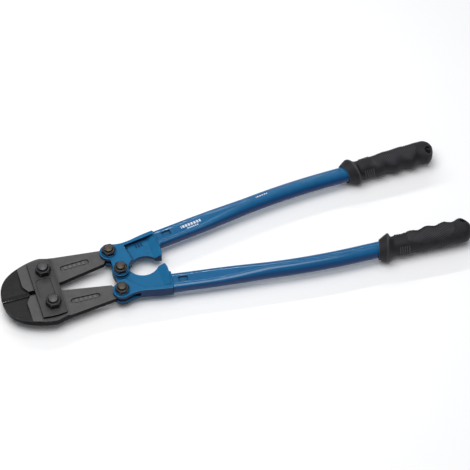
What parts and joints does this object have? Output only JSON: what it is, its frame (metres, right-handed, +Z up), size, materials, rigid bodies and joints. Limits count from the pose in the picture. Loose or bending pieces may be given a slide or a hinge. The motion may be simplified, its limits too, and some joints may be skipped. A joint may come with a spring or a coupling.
{
  "type": "bolt cutters",
  "caption": "Long-handled bolt cutters with centre-cut jaws in cheek straps, forged yokes, bent steel tube handles and moulded rubber grips.",
  "frame": {"origin": "under the middle of the tool's length, on its centre line, on the surface that it lies on", "axes": "+X from the blades to the grips, +Z up out of the flat side that shows the nuts, +Y towards the upper handle"},
  "size_m": [0.6291, 0.1778, 0.0406],
  "materials": {
    "jaw_steel": "black oxide forged steel, ground bevel at the blade",
    "strap_steel": "black oxide, milled",
    "fastener_steel": "dark zinc or oxide",
    "yoke_paint": "blue gloss paint over forged steel",
    "tube_paint": "blue gloss paint on steel tube",
    "grip_rubber": "matt moulded black rubber"
  },
  "bodies": {
    "strap_frame": {"strap_top": "strap_steel", "strap_bottom": "strap_steel", "jaw_bolt_upper": "fastener_steel", "jaw_bolt_lower": "fastener_steel", "jaw_nut_upper": "fastener_steel", "jaw_nut_lower": "fastener_steel"},
    "jaw_upper": {"jaw_upper": "jaw_steel"},
    "jaw_lower": {"jaw_lower": "jaw_steel"},
    "handle_upper": {"yoke_upper": "yoke_paint", "link_bolt_upper": "fastener_steel", "link_nut_upper": "fastener_steel", "centre_bolt": "fastener_steel", "centre_nut": "fastener_steel", "handle_tube_upper": "tube_paint", "grip_upper": "grip_rubber"},
    "handle_lower": {"yoke_lower": "yoke_paint", "link_bolt_lower": "fastener_steel", "link_nut_lower": "fastener_steel", "handle_tube_lower": "tube_paint", "grip_lower": "grip_rubber"}
  },
  "joints": [
    {"name": "jaw_upper_pivot", "type": "hinge", "parent": "strap_frame", "child": "jaw_upper", "pos_m": [-0.2516, 0.0271, 0.0195], "axis": [0, 0, 1], "range_deg": [-8.11, 0.36]},
    {"name": "jaw_lower_pivot", "type": "hinge", "parent": "strap_frame", "child": "jaw_lower", "pos_m": [-0.2516, -0.0271, 0.0195], "axis": [0, 0, 1], "range_deg": [-0.36, 8.11]},
    {"name": "handles_open", "type": "hinge", "parent": "jaw_upper", "child": "handle_upper", "pos_m": [-0.1605, 0.0328, 0.0195], "axis": [0, 0, 1], "range_deg": [-2.2, 52]},
    {"name": "lower_handle_link", "type": "hinge", "parent": "jaw_lower", "child": "handle_lower", "pos_m": [-0.1605, -0.0328, 0.0195], "axis": [0, 0, 1], "range_deg": [-52, 2.2]}
  ],
  "couplings": [
    {"joint": "jaw_upper_pivot", "follows": "handles_open", "ratio": -0.155},
    {"joint": "jaw_lower_pivot", "follows": "handles_open", "ratio": 0.155},
    {"joint": "lower_handle_link", "follows": "handles_open", "ratio": -1}
  ]
}
